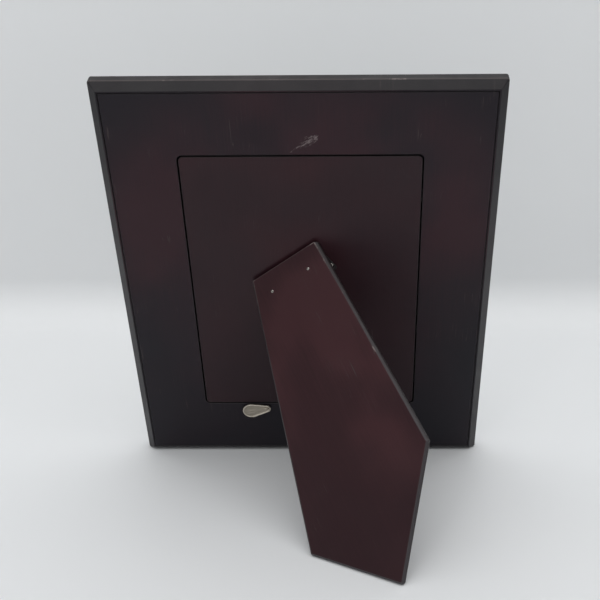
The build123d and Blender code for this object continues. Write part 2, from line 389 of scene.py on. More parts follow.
# %% Cut the groove and finish the board
tongue_width = 100 * mm
tongue_thick = 1.4 * mm
groove_length = 2.6 * mm
groove_room = (1.3 * mm, 0.3 * mm)
groove_levels = (panel_low.z - groove_room[0], panel_low.z + tongue_thick + groove_room[1])
pocket_top = pocket_corners[2].y
push_from_wall(slab_builder, pocket_top, -1, tongue_width / 2 + mm, groove_levels, groove_length)
mark_cut_sides(slab_builder)
frame_board = piece_from(slab_builder, "frame_board", board_axes, "frame", "frame_slab")

# %% [markdown]
# ## The sheets in the pocket
#
# Glass, print and filler board lie in the pocket one on the other. Glass is cut and its edges are ground
# lightly, a print has crisp edges, and the filler is corrugated card: two flat liners with a wavy sheet
# glued between them. The waves show only when the panel is off, but they are what card looks like there.


# %% Flat sheets
def flat_sheet(name, node, body, corner_radius, edge_radius):
    """A thin sheet that fills a design node's extent, with its edges eased."""
    low, high = span(node, board_axes)
    middle = (low + high) / 2
    half = (high - low) / 2
    profile = [(mm, -half.z), (0, -half.z), (0, half.z), (mm, half.z)]
    builder = new_builder()
    corners = rectangle(-half.x, half.x, -half.y, half.y)
    skin(builder, loops_from(corners, corner_radius, soften(profile, edge_radius, 0.2 * mm)))
    mark_cut_sides(builder)
    return piece_from(builder, name, board_axes @ Matrix.Translation(middle), body, node)


glass = flat_sheet("glass_sheet", "glass_pane", "frame", 0.6 * mm, 0.25 * mm)
print_sheet = flat_sheet("printed_picture", "picture_print", "frame", 0.2 * mm, 0.05 * mm)

# %% The filler card
liner_thick = 0.35 * mm
flute_pitch = 6.5 * mm
flute_thick = 0.25 * mm
flute_setback = 0.2 * mm
steps_a_flute = 10
card_low, card_high = span("filler_board", board_axes)
card_middle = (card_low + card_high) / 2
card_half = (card_high - card_low) / 2
card_builder = new_builder()
card_corners = rectangle(-card_half.x, card_half.x, -card_half.y, card_half.y)
for bottom in (-card_half.z, card_half.z - liner_thick):
    liner = [(mm, bottom), (0, bottom), (0, bottom + liner_thick), (mm, bottom + liner_thick)]
    skin(card_builder, loops_from(card_corners, 0.3 * mm, soften(liner, 0.08 * mm, 0.1 * mm)))
wave_height = card_half.z - liner_thick - flute_thick / 2
wave_steps = round(2 * card_half.y / flute_pitch) * steps_a_flute
half_width = card_half.x - flute_setback
section = [(-1, -1), (1, -1), (1, 1), (-1, 1)]
flute_loops = []
for step in range(wave_steps + 1):
    y = (step / wave_steps - 0.5) * 2 * (card_half.y - flute_setback)
    z = wave_height * math.sin(math.tau * y / flute_pitch)
    ring = [Vector((side * half_width, y, z + face * flute_thick / 2)) for side, face in section]
    flute_loops.append((ring, 0.0))
skin(card_builder, flute_loops)
card_axes = board_axes @ Matrix.Translation(card_middle)
filler_card = piece_from(card_builder, "filler_card", card_axes, "frame", "filler_board")

# %% [markdown]
# ## The back panel
#
# The panel is thin fibre board, loose enough in its pocket to leave a dark line all round. Its edges are
# barely eased, so the arc is small. The tongue is pulled out of its top edge with the same helper that cut
# the groove.

# %% The panel with its tongue
panel_radius = 2.4 * mm
tongue_step = 0.35 * mm
panel_top = panel_high.y - tongue_length
panel_corners = rectangle(panel_low.x, panel_high.x, panel_low.y, panel_top)
panel_profile = [
    (face_margin, panel_low.z),
    (0, panel_low.z),
    (0, panel_high.z),
    (face_margin, panel_high.z),
]
panel_builder = new_builder()
skin(panel_builder, loops_from(panel_corners, panel_radius, soften(panel_profile, 0.3 * mm, 0.3 * mm)))
tongue_levels = (panel_low.z + tongue_step, panel_low.z + tongue_thick)
push_from_wall(panel_builder, panel_top, 1, tongue_width / 2, tongue_levels, tongue_length)
mark_cut_sides(panel_builder)
panel_board = piece_from(panel_builder, "panel_board", board_axes, "panel", "back_panel")

# %% [markdown]
# ## The easel leg
#
# The leg is a five-sided board. Its foot is a square corner with two edges: one lies along the table when
# the picture is upright, the other when it is on its side. The foot edge is not measured but worked out,
# as the line where the leg's inner face meets the table, so the leg can neither float nor sink. A plane
# has taken the arris off the outer face, but not at the top, where the edge rests on the panel. There the
# loops are given a raised top line, which the inset then brings back to its place.


# %% The leg's outline
def crossing(start, direction, other_start, other_direction):
    """Where two lines in the leg's plane cross."""
    between = other_start - start
    turn = direction.cross(other_direction)
    return start + direction * (between.cross(other_direction) / turn)


leg_top_ends = (-24.3 * mm, 23.3 * mm)
leg_left_flare = math.radians(14.35)
leg_right_flare = math.radians(3.55)
foot_corner_across = -18.85 * mm
down_the_leg = Vector((0, -1))


def table_point(x):
    """The point of the leg's inner face at x across that lies on the table."""
    along_x, along_y, along_z, start = leg_axes[2]
    height = start + along_x * x + along_z * leg_low.z
    return Vector((x, -height / along_y))


foot_corner = table_point(foot_corner_across)
along_foot = (table_point(0) - foot_corner).normalized()
square_to_foot = Vector((-along_foot.y, along_foot.x))
top_left = Vector((leg_top_ends[0], leg_high.y))
top_right = Vector((leg_top_ends[1], leg_high.y))
left_side = Matrix.Rotation(-leg_left_flare, 2) @ down_the_leg
right_side = Matrix.Rotation(leg_right_flare, 2) @ down_the_leg
foot_left = crossing(top_left, left_side, foot_corner, along_foot)
right_corner = crossing(top_right, right_side, foot_corner, square_to_foot)


def leg_corners_raised(lift):
    """The leg's corners, with its top edge moved up along both sides by lift."""
    higher_left = top_left - left_side * lift / -left_side.y
    higher_right = top_right - right_side * lift / -right_side.y
    return [foot_left, foot_corner, right_corner, higher_right, higher_left]


corners_mm = [[round(v / mm, 1) for v in corner] for corner in leg_corners_raised(0)]
print("leg corners, mm:", corners_mm)

# %% The leg board
leg_ease = 1.2 * mm
leg_corner_radius = 1.4 * mm
leg_profile = [
    (face_margin, leg_low.z),
    (0, leg_low.z, 0.3),
    (0, leg_high.z - leg_ease, 0.6),
    (leg_ease, leg_high.z, 1.0),
    (leg_ease + face_margin, leg_high.z),
]
leg_middle = (leg_low.z + leg_high.z) / 2
leg_loops = []
for inset, height, wear in soften(leg_profile, 0.3 * mm, 0.4 * mm):
    lift = min(inset, leg_ease) if height > leg_middle else 0.0
    leg_loops += loops_from(leg_corners_raised(lift), leg_corner_radius, [(inset, height, wear)])
leg_builder = new_builder()
skin(leg_builder, leg_loops)
mark_cut_sides(leg_builder)
leg_board = piece_from(leg_builder, "leg_board", leg_axes, "leg", "easel_leg")

# %% [markdown]
# ## The hinge
#
# A sheet-metal hinge is two leaves whose fingers are rolled round one pin. Each finger here is a flat strip
# swept along a J: straight out of the leaf, then round the pin. Sweeping a rounded rectangle gives the
# rolled finger its true thickness and its open seam, which a plain tube would not have.


# %% A strip swept along a path, and a leaf
def strip(builder, path, width, thick, middle_x):
    """Sweep a rounded flat section along a path of (y, z) points."""
    section = outline(rectangle(-width / 2, width / 2, -thick / 2, thick / 2), 0.18 * mm, 0, 2)
    loops = []
    for i, point in enumerate(path):
        ahead = path[min(i + 1, len(path) - 1)] - path[max(i - 1, 0)]
        ahead.normalize()
        side = Vector((-ahead.y, ahead.x))
        ring = [
            Vector((middle_x + p.x, point.x + side.x * p.y, point.y + side.y * p.y)) for p in section
        ]
        loops.append((ring, 0.3))
    skin(builder, loops)


pin_radius = 0.8 * mm
axis_height = 1.9 * mm
leaf_thick = 0.8 * mm
leaf_shift = -1.5 * mm
leaf_corner_radius = 1.5 * mm
plate_start = 2.1 * mm
knuckle_length = 10.8 * mm
knuckle_step = 11.1 * mm
roll_radius = pin_radius + leaf_thick / 2 + 0.04 * mm
roll_start = -115
roll_end = 182
roll_steps = 18


def hinge_leaf(builder, level, bend, width, length, finger_middles):
    """A leaf's plate at a level over the pin's plane, with its fingers rolled round the pin."""
    plate = rectangle(-width / 2, width / 2, -length, -plate_start)
    plate = [corner + Vector((leaf_shift, 0)) for corner in plate]
    profile = [(mm, level - leaf_thick / 2), (0, level - leaf_thick / 2, 0.5)]
    profile += [(0, level + leaf_thick / 2, 0.5), (mm, level + leaf_thick / 2)]
    skin(builder, loops_from(plate, leaf_corner_radius, soften(profile, 0.18 * mm, 0.2 * mm)))
    for middle in finger_middles:
        path = [Vector((-plate_start - mm, level)), Vector((-plate_start + 0.2 * mm, level))]
        for k in range(roll_steps + 1):
            angle = math.radians(roll_start + (roll_end - roll_start) * k / roll_steps) * bend
            path.append(Vector((math.cos(angle), math.sin(angle))) * roll_radius)
        strip(builder, path, knuckle_length, leaf_thick - 0.02 * mm, leaf_shift + middle)


# %% The two leaves
panel_leaf_builder = new_builder()
panel_leaf_level = -axis_height + leaf_thick / 2
outer_fingers = (-knuckle_step, knuckle_step)
hinge_leaf(panel_leaf_builder, panel_leaf_level, 1, 44.6 * mm, 16.5 * mm, outer_fingers)
panel_leaf = piece_from(
    panel_leaf_builder, "panel_hinge_leaf", hinge_axes, "panel", "hinge_panel_leaf", 30
)
leg_leaf_builder = new_builder()
hinge_leaf(leg_leaf_builder, axis_height - leaf_thick / 2, -1, 33.0 * mm, 12.0 * mm, (0,))
leg_leaf = piece_from(
    leg_leaf_builder, "leg_hinge_leaf", leg_axes, "leg", "hinge_leg_leaf", 30
)

# %% [markdown]
# ## Turned metal: pin and rivets
#
# Anything round comes from a lathe: a short profile of (radius, height) points spun about an axis. A rivet
# is a shank with a flat domed head where it was set and a smaller bright tail where it was closed.


# %% The lathe
def turned(builder, profile, middle, spin_axis="Z", segments=24):
    """Spin a profile of (radius, height) points about an axis through middle."""
    loops = []
    for radius, height in profile:
        ring = []
        for k in range(segments):
            angle = math.tau * k / segments
            x = radius * math.cos(angle)
            y = radius * math.sin(angle)
            ring.append(Vector((x, y, height) if spin_axis == "Z" else (height, x, y)) + middle)
        loops.append((ring, 0.0))
    skin(builder, loops)


def dome(radius, height, base, steps=5):
    """Profile points of a low dome, from its rim up to near its middle."""
    points = []
    for k in range(steps + 1):
        angle = math.pi / 2 * k / steps * 0.96
        points.append((radius * math.cos(angle), base + height * math.sin(angle)))
    return points


# %% The hinge pin
pin_half = 16.5 * mm
pin_builder = new_builder()
pin_end = [(0.3 * pin_radius, 0.0), (0.75 * pin_radius, 0.03 * mm), (pin_radius, 0.25 * mm)]
pin_profile = [(radius, rise - pin_half) for radius, rise in pin_end]
pin_profile += [(radius, pin_half - rise) for radius, rise in reversed(pin_end)]
turned(pin_builder, pin_profile, Vector((leaf_shift, 0, 0)), "X", 32)
hinge_pin = piece_from(
    pin_builder, "hinge_pin_rod", hinge_axes, "panel", "hinge_pin", 50
)

# %% The rivets
rivet_radius = 0.7 * mm
head_radius = 1.1 * mm
head_height = 0.45 * mm
tail_radius = 0.95 * mm
tail_height = 0.4 * mm
rivet_grip = 2.4 * mm
leg_rivet_place = (13.15 * mm, -6.9 * mm)
panel_rivet_place = (20.7 * mm, -12.7 * mm)
leg_rivet_builder = new_builder()
leaf_under = axis_height - leaf_thick
for side in (-1, 1):
    head = [(r, leaf_under - (h - leaf_under)) for r, h in dome(head_radius, head_height, leaf_under)]
    tail = dome(tail_radius, tail_height, leg_high.z)
    profile = head[::-1] + [(rivet_radius, leaf_under), (rivet_radius, leg_high.z)] + tail
    middle = Vector((leaf_shift + side * leg_rivet_place[0], leg_rivet_place[1], 0))
    turned(leg_rivet_builder, profile, middle)
leg_rivets = piece_from(
    leg_rivet_builder, "leg_rivet_pair", leg_axes, "leg", "leg_rivets", 35
)
panel_rivet_builder = new_builder()
leaf_top = leaf_thick - axis_height
rivet_bottom = -axis_height - rivet_grip
for side in (-1, 1):
    profile = [(0.5 * rivet_radius, rivet_bottom), (rivet_radius, rivet_bottom + 0.3 * mm)]
    profile += [(rivet_radius, leaf_top)] + dome(head_radius, head_height, leaf_top)
    middle = Vector((leaf_shift + side * panel_rivet_place[0], panel_rivet_place[1], 0))
    turned(panel_rivet_builder, profile, middle)
panel_rivets = piece_from(
    panel_rivet_builder, "panel_rivet_pair", hinge_axes, "panel", "panel_rivets", 35
)

# %% [markdown]
# ## The turn button
#
# The button is a teardrop stamped from sheet: round the pivot it is narrow, at the free end it is wide, and
# its middle is pressed in so that a rim stands round it. Its outline is two circles and their common
# tangents, so insetting it is only a matter of shrinking both circles.


# %% The teardrop outline
small_radius = 2.8 * mm
large_radius = 5.6 * mm
button_length = 9.8 * mm


def teardrop(inset, steps=14):
    """Points round the button's outline, moved in by inset, with the pivot at the origin."""
    tangent = math.acos((large_radius - small_radius) / button_length)
    points = []
    for k in range(2 * steps + 1):
        angle = (math.pi - tangent) * (k / steps - 1)
        spoke = Vector((math.cos(angle), math.sin(angle)))
        points.append(Vector((button_length, 0)) + spoke * (large_radius - inset))
    for k in range(2 * steps + 1):
        angle = math.pi + tangent * (k / steps - 1)
        points.append(Vector((math.cos(angle), math.sin(angle))) * (small_radius - inset))
    return points


# %% The button
button_under = 0.65 * mm
button_top = 1.75 * mm
boss_radius = 2.3 * mm
rest_gap = 0.15 * mm
dish_depth = 0.45 * mm
rubbed_rim = (0.1 * mm, 0.85 * mm)
button_profile = [
    (1.2 * mm, button_under),
    (0.2 * mm, button_under),
    (0, button_under + 0.2 * mm),
    (0, button_top - 0.35 * mm),
    (0.1 * mm, button_top - 0.12 * mm),
    (0.35 * mm, button_top),
    (0.6 * mm, button_top),
    (0.85 * mm, button_top - 0.06 * mm),
    (1.2 * mm, button_top - 0.33 * mm),
    (1.45 * mm, button_top - 0.42 * mm),
    (1.75 * mm, button_top - dish_depth),
    (2.2 * mm, button_top - dish_depth),
]
button_angle = math.radians(190)
button_builder = new_builder()
button_loops = []
for inset, height in button_profile:
    ring = [Vector((p.x, p.y, height)) for p in teardrop(inset)]
    on_rim = rubbed_rim[0] <= inset <= rubbed_rim[1] and height > button_under + 0.5 * mm
    button_loops.append((ring, 1.0 if on_rim else 0.0))
skin(button_builder, button_loops)
boss = [(boss_radius - 0.15 * mm, rest_gap), (boss_radius, rest_gap + 0.15 * mm)]
boss += [(boss_radius, button_under + 0.2 * mm)]
turned(button_builder, boss, Vector(), "Z", 32)
button_x = across * math.cos(button_angle) + up * math.sin(button_angle)
button_axes = axes_at(button_pivot, button_x, out)
button = piece_from(
    button_builder, "teardrop_button", button_axes, "button", "turn_button", 35
)

# %% The button's pin
pin_head_base = button_top - dish_depth + 0.05 * mm
shank_radius = 0.9 * mm
button_pin_builder = new_builder()
button_pin_profile = [(0.3 * mm, -6.6 * mm), (shank_radius, -6 * mm), (shank_radius, pin_head_base)]
button_pin_profile += dome(1.35 * mm, 0.6 * mm, pin_head_base)
turned(button_pin_builder, button_pin_profile, Vector(), "Z", 32)
button_pin = piece_from(
    button_pin_builder, "button_pin_rod", button_axes, "frame", "turn_button_pin", 35
)

# %% [markdown]
# ## Small tools for node trees
#
# A finish is a tree of nodes, and trees are long when every node is placed by hand. A few helpers keep
# them readable: one fills or links a node's inputs, one adds a node, and the rest make one common kind
# each, such as a sum, a mix of two colours or a noise. A plain number goes straight into its socket.


# %% Node helpers
def fill(tree, node, inputs):
    """Link a node's inputs to the sockets given for them, and set the rest to plain values."""
    for name, value in inputs.items():
        if isinstance(value, bpy.types.NodeSocket):
            tree.links.new(value, node.inputs[name])
        else:
            node.inputs[name].default_value = value


def add(tree, kind, inputs=None, **settings):
    """Add a node, set its properties, then fill its inputs."""
    made = tree.nodes.new(kind)
    for name, value in settings.items():
        setattr(made, name, value)
    fill(tree, made, inputs or {})
    return made


def sum_of(tree, operation, first, second=0.0, third=0.0, clamp=False):
    """The result of one math node."""
    values = {0: first, 1: second, 2: third}
    return add(tree, "ShaderNodeMath", values, operation=operation, use_clamp=clamp).outputs[0]


def mixed(tree, factor, first, second, blend_type="MIX"):
    """The colour between first and second."""
    values = {0: factor, 6: first, 7: second}
    settings = {"data_type": "RGBA", "blend_type": blend_type, "clamp_factor": True}
    return add(tree, "ShaderNodeMix", values, **settings).outputs[2]


def ramped(tree, value, start, end, low=0.0, high=1.0):
    """The value carried smoothly from the range start..end to low..high."""
    values = {"Value": value, "From Min": start, "From Max": end, "To Min": low, "To Max": high}
    return add(tree, "ShaderNodeMapRange", values, interpolation_type="SMOOTHSTEP").outputs[0]


def noise(tree, vector, scale, detail=3.0, roughness=0.55):
    """A cloudy value between 0 and 1."""
    values = {"Vector": vector, "Scale": scale, "Detail": detail, "Roughness": roughness}
    return add(tree, "ShaderNodeTexNoise", values).outputs["Fac"]


def stretched(tree, vector, scale, turned_by=0.0):
    """The vector turned about Z and scaled along each axis."""
    values = {"Vector": vector, "Scale": scale, "Rotation": (0, 0, turned_by)}
    return add(tree, "ShaderNodeMapping", values).outputs[0]


def new_group(name, inputs, outputs):
    """An empty node group with named sockets: inputs as (name, kind, value), outputs as (name, kind)."""
    group = bpy.data.node_groups.new(name, "ShaderNodeTree")
    for label, kind, value in inputs:
        socket = group.interface.new_socket(label, in_out="INPUT", socket_type="NodeSocket" + kind)
        socket.default_value = value
    for label, kind in outputs:
        group.interface.new_socket(label, in_out="OUTPUT", socket_type="NodeSocket" + kind)
    entry = group.nodes.new("NodeGroupInput")
    leave = group.nodes.new("NodeGroupOutput")
    return group, entry.outputs, leave


def use(tree, group, **values):
    """Place a node group in a material with its own values, and give its outputs."""
    named = {name.replace("_", " "): value for name, value in values.items()}
    return add(tree, "ShaderNodeGroup", named, node_tree=group).outputs


def new_material(name):
    """A material with its tree, its Principled shader and the places stored in the mesh."""
    material = bpy.data.materials.new(name)
    material.use_nodes = True
    tree = material.node_tree
    shader = tree.nodes["Principled BSDF"]
    place = add(tree, "ShaderNodeAttribute", attribute_name="place").outputs["Vector"]
    return material, tree, shader, place


def dress(material, *pieces):
    """Give pieces their finish."""
    for piece in pieces:
        piece.data.materials.append(material)
        print("dressed", piece.name, "in", material.name)


def clear_for(tree, shader, question, colour=(1, 1, 1, 1)):
    """Let the rays for which the question holds pass through as if the surface were clear."""
    clear = add(tree, "ShaderNodeBsdfTransparent", {"Color": colour})
    choice = add(tree, "ShaderNodeMixShader", {0: question, 1: shader.outputs[0], 2: clear.outputs[0]})
    fill(tree, tree.nodes["Material Output"], {"Surface": choice.outputs[0]})


def bumped(tree, height, distance, strength=1.0):
    """A normal from a height map, with its depth in metres."""
    values = {"Height": height, "Distance": distance, "Strength": strength}
    return add(tree, "ShaderNodeBump", values).outputs[0]


print("node helpers ready")

# %% [markdown]
# ## Shared effect: sprayed lacquer
#
# The boards are fibre board, stained red-brown and sprayed nearly black. The colour is thin in places, so
# patches of red glow through it. The surface has the fine pebbling that spray leaves, and very faint long
# streaks where the board was sanded before it was sprayed. One group makes all of it, and each board
# chooses its own colours.

# %% Build the lacquer group
lacquer_group, given, leaving = new_group(
    "sprayed lacquer",
    [
        ("Place", "Vector", (0, 0, 0)),
        ("Thick Colour", "Color", (0.01, 0.01, 0.01, 1)),
        ("Thin Colour", "Color", (0.03, 0.01, 0.01, 1)),
        ("Patch Size", "Float", 0.05),
        ("Thinness", "Float", 0.5),
    ],
    [("Color", "Color"), ("Streaks", "Float"), ("Pebbling", "Float")],
)
patch_scale = sum_of(lacquer_group, "DIVIDE", 1.0, given["Patch Size"])
broad = noise(lacquer_group, given["Place"], patch_scale, 2.0, 0.5)
broad_patches = ramped(lacquer_group, broad, 0.38, 0.66)
streak_place = stretched(lacquer_group, given["Place"], (1400, 35, 900))
streaks = noise(lacquer_group, streak_place, 1.0, 3.0, 0.6)
thin_here = sum_of(lacquer_group, "MULTIPLY", broad_patches, given["Thinness"])
streak_share = sum_of(lacquer_group, "MULTIPLY_ADD", streaks, given["Thinness"], thin_here)
thinness = sum_of(lacquer_group, "MINIMUM", streak_share, 1.0)
lacquer_colour = mixed(lacquer_group, thinness, given["Thick Colour"], given["Thin Colour"])
pebbles = noise(lacquer_group, given["Place"], 1500.0, 2.0, 0.5)
fill(lacquer_group, leaving, {"Color": lacquer_colour, "Streaks": streaks, "Pebbling": pebbles})
print(lacquer_group.name, "nodes:", len(lacquer_group.nodes))

# %% [markdown]
# ## Shared effect: rubbed edges
#
# Edges lose their finish first. The meshes carry "wear", which is highest on the outer arrises, so the
# group has only to break that line up: a noise decides where the finish has gone and frays its border.
# A second input is a painted highlight: a thin, even line along the arris, added to the same mask as the
# wear.

# %% Build the rubbed edge group
rub_group, given, leaving = new_group(
    "rubbed edges and painted highlight",
    [
        ("Place", "Vector", (0, 0, 0)),
        ("Amount", "Float", 0.5),
        ("Patch Size", "Float", 0.02),
        ("Polish", "Float", 0.0),
    ],
    [("Mask", "Float")],
)
edge_line = add(rub_group, "ShaderNodeAttribute", attribute_name="wear").outputs["Fac"]
rub_scale = sum_of(rub_group, "DIVIDE", 1.0, given["Patch Size"])
rub_noise = noise(rub_group, given["Place"], rub_scale, 4.0, 0.65)
threshold = sum_of(rub_group, "MULTIPLY_ADD", given["Amount"], -0.6, 0.85)
rubbed_here = ramped(rub_group, sum_of(rub_group, "SUBTRACT", rub_noise, threshold), -0.08, 0.1)
edge_core = ramped(rub_group, edge_line, 0.35, 1.0)
# painted highlight: the second input lays an even line along the arris into the wear mask
rubbed_here = sum_of(rub_group, "MAXIMUM", rubbed_here, given["Polish"])
fill(rub_group, leaving, {"Mask": sum_of(rub_group, "MULTIPLY", edge_core, rubbed_here)})
print(rub_group.name, "nodes:", len(rub_group.nodes))

# %% [markdown]
# ## Shared effect: settled dust
#
# Dust falls from above, so it lies where the surface faces up, thinly, and in small specks everywhere. The
# Geometry node's normal is in world directions, which is what "up" needs.

# %% Build the dust group
dust_group, given, leaving = new_group(
    "settled dust",
    [("Place", "Vector", (0, 0, 0)), ("Amount", "Float", 0.3)],
    [("Mask", "Float")],
)
facing = add(dust_group, "ShaderNodeNewGeometry").outputs["Normal"]
facing_up = add(dust_group, "ShaderNodeSeparateXYZ", {0: facing}).outputs["Z"]
upward = ramped(dust_group, facing_up, 0.25, 1.0)
drift = noise(dust_group, given["Place"], 60.0, 4.0, 0.6)
film = sum_of(dust_group, "MULTIPLY", upward, ramped(dust_group, drift, 0.3, 0.75))
speck_cells = add(
    dust_group, "ShaderNodeTexVoronoi", {"Vector": given["Place"], "Scale": 900.0, "Randomness": 1.0}
)
speck_pick = add(dust_group, "ShaderNodeSeparateXYZ", {0: speck_cells.outputs["Color"]}).outputs["X"]
speck_size = ramped(dust_group, speck_pick, 0.93, 1.0, 0.0, 0.2)
inside_speck = sum_of(dust_group, "SUBTRACT", speck_size, speck_cells.outputs["Distance"])
specks = ramped(dust_group, inside_speck, 0.0, 0.06)
all_dust = sum_of(dust_group, "MAXIMUM", film, sum_of(dust_group, "MULTIPLY", specks, 0.8))
fill(dust_group, leaving, {"Mask": sum_of(dust_group, "MULTIPLY", all_dust, given["Amount"])})
print(dust_group.name, "nodes:", len(dust_group.nodes))

# %% [markdown]
# ## Shared effect: handling
#
# Satin finishes never have one roughness. Fingers polish some places and leave a film on others, so the
# group gives a soft cloud for each finish's roughness. It also gives a few fine, long scratches, which the
# boards show in their colour and relief.

# %% Build the handling group
handling_group, given, leaving = new_group(
    "handling",
    [("Place", "Vector", (0, 0, 0)), ("Cloud Size", "Float", 0.03)],
    [("Smudges", "Float"), ("Scratches", "Float")],
)
cloud_scale = sum_of(handling_group, "DIVIDE", 1.0, given["Cloud Size"])
smudges = noise(handling_group, given["Place"], cloud_scale, 5.0, 0.6)
scratch_sets = []
for angle, density in ((0.5, 9.0), (-0.9, 7.0)):
    line_place = stretched(handling_group, given["Place"], (density * 60, density, 0), angle)
    lines = noise(handling_group, line_place, 1.0, 1.0, 0.4)
    thin_line = sum_of(handling_group, "ABSOLUTE", sum_of(handling_group, "SUBTRACT", lines, 0.5))
    crisp = ramped(handling_group, thin_line, 0.0, 0.006, 1.0, 0.0)
    gate = ramped(handling_group, noise(handling_group, given["Place"], density * 6, 1.0), 0.62, 0.72)
    scratch_sets.append(sum_of(handling_group, "MULTIPLY", crisp, gate))
scratches = sum_of(handling_group, "MAXIMUM", scratch_sets[0], scratch_sets[1])
fill(handling_group, leaving, {"Smudges": smudges, "Scratches": scratches})
print(handling_group.name, "nodes:", len(handling_group.nodes))

# %% [markdown]
# ## The three lacquered boards
#
# Frame, panel and leg share one recipe with different amounts: the frame is nearly black, the panel is
# redder, and the leg is the lightest, as its spray coat was the thinnest. On each board the coat is
# thinnest round one spot and the edges are rubbed most near the top, where the top arrises also get a thin
# painted highlight. Cut sides and bevels are greyer, because the open edge of fibre board drinks the
# lacquer and dries flat. The bevels also carry painted light and shade: paler low on the board and darker
# near its top. The recipe is a function, so that the three finishes stay one family.


# %% The lacquered board recipe
def lacquered_board(
    name, thick, thin, patch_size, thin_spot, thin_range, rub_heights, rub_range, bevel_shade, bevel_painted_light
):
    """A board finish. Its coat is thinnest round a spot, and its edges are rubbed more higher up.

    thin_spot is the spot's place and the two distances from it between which the coat thickens."""
    material, tree, shader, place = new_material(name)
    middle, near, far = thin_spot
    distance = {0: place, 1: (*middle, 0)}
    away = add(tree, "ShaderNodeVectorMath", distance, operation="DISTANCE").outputs["Value"]
    thinness = ramped(tree, away, near, far, *thin_range)
    height = add(tree, "ShaderNodeSeparateXYZ", {0: place}).outputs["Y"]
    rubbing = ramped(tree, height, *rub_heights, *rub_range)
    # painted highlight: an even pale line along the arrises near the board's top, on top of the real wear
    top_arris_painted_highlight = ramped(tree, height, rub_heights[1] - 0.02, rub_heights[1], 0.03, 0.22)
    coat = use(
        tree,
        lacquer_group,
        Place=place,
        Thick_Colour=(*thick, 1),
        Thin_Colour=(*thin, 1),
        Patch_Size=patch_size,
        Thinness=thinness,
    )
    rubbed = use(tree, rub_group, Place=place, Amount=rubbing, Patch_Size=0.012, Polish=top_arris_painted_highlight)["Mask"]
    dust = use(tree, dust_group, Place=place, Amount=0.06)["Mask"]
    handled = use(tree, handling_group, Place=place, Cloud_Size=0.035)
    cut = add(tree, "ShaderNodeAttribute", attribute_name="cut").outputs["Fac"]
    fibre = noise(tree, stretched(tree, place, (220, 220, 2600)), 1.0, 3.0, 0.7)
    side_tint = mixed(tree, fibre, (0.007, 0.006, 0.007, 1), (0.016, 0.014, 0.015, 1))
    # painted light and shade on the bevels: a shaded and a lit copy of the bevel colour, mixed by height so
    # the bevels are paler low on the board and darker near its top
    bevel_in_painted_shade = (bevel_shade * 0.53, bevel_shade * 0.46, bevel_shade * 0.54, 1)
    bevel_in_painted_light = (bevel_shade * 2.06, bevel_shade * 1.92, bevel_shade * 2.06, 1)
    painted_bevel_light_here = ramped(tree, height, *rub_heights, *bevel_painted_light)
    bevel_grain_and_painted_light = mixed(tree, sum_of(tree, "MULTIPLY_ADD", fibre, 0.3, painted_bevel_light_here), bevel_in_painted_shade, bevel_in_painted_light)
    on_bevel = ramped(tree, cut, 0.5, 1.0, 1.0, 0.0)
    cut_tint_with_painted_light = mixed(tree, on_bevel, side_tint, bevel_grain_and_painted_light)
    colour = mixed(tree, ramped(tree, cut, 0.0, 0.5, 0.0, 0.85), coat["Color"], cut_tint_with_painted_light)
    # the worn finish on the arrises shows pale here, and so does the painted highlight along the top arrises
    colour = mixed(tree, rubbed, colour, (0.16, 0.13, 0.125, 1))
    colour = mixed(tree, handled["Scratches"], colour, (0.05, 0.036, 0.036, 1))
    colour = mixed(tree, dust, colour, (0.30, 0.28, 0.26, 1))
    satin = ramped(tree, handled["Smudges"], 0.3, 0.7, 0.36, 0.47)
    gloss = sum_of(tree, "MULTIPLY_ADD", rubbed, 0.12, satin)
    gloss = sum_of(tree, "ADD", gloss, sum_of(tree, "MULTIPLY", cut, 0.12))
    gloss = sum_of(tree, "ADD", gloss, sum_of(tree, "MULTIPLY", dust, 0.5), clamp=True)
    fine = sum_of(tree, "ADD", coat["Pebbling"], sum_of(tree, "MULTIPLY", coat["Streaks"], 0.6))
    fine = sum_of(tree, "SUBTRACT", fine, sum_of(tree, "MULTIPLY", handled["Scratches"], 0.8))
    fine = sum_of(tree, "ADD", fine, sum_of(tree, "MULTIPLY", sum_of(tree, "MULTIPLY", fibre, cut), 1.6))
    relief = bumped(tree, fine, 0.00003, 0.6)
    fill(tree, shader, {"Base Color": colour, "Roughness": gloss, "Normal": relief})
    shader.inputs["Specular IOR Level"].default_value = 0.26
    return material, tree, shader, place


# %% [markdown]
# ## A scuff on the frame
#
# The frame's face has one pale scuff, shaped like a small feather, where something dragged across it. A
# painted image could carry it, but that would need its own map. Here the board's axes are turned to the
# scuff's slant, each point is measured along and beside it, and a stretched noise frays it into hairs.


# %% The scuff's mask, and a way to lay it over a finish
def marked(tree, shader, mask, colour):
    """Lay one more mark over a finish: its mask, and the colour that shows there."""
    below = shader.inputs["Base Color"].links[0].from_socket
    fill(tree, shader, {"Base Color": mixed(tree, mask, below, (*colour, 1))})


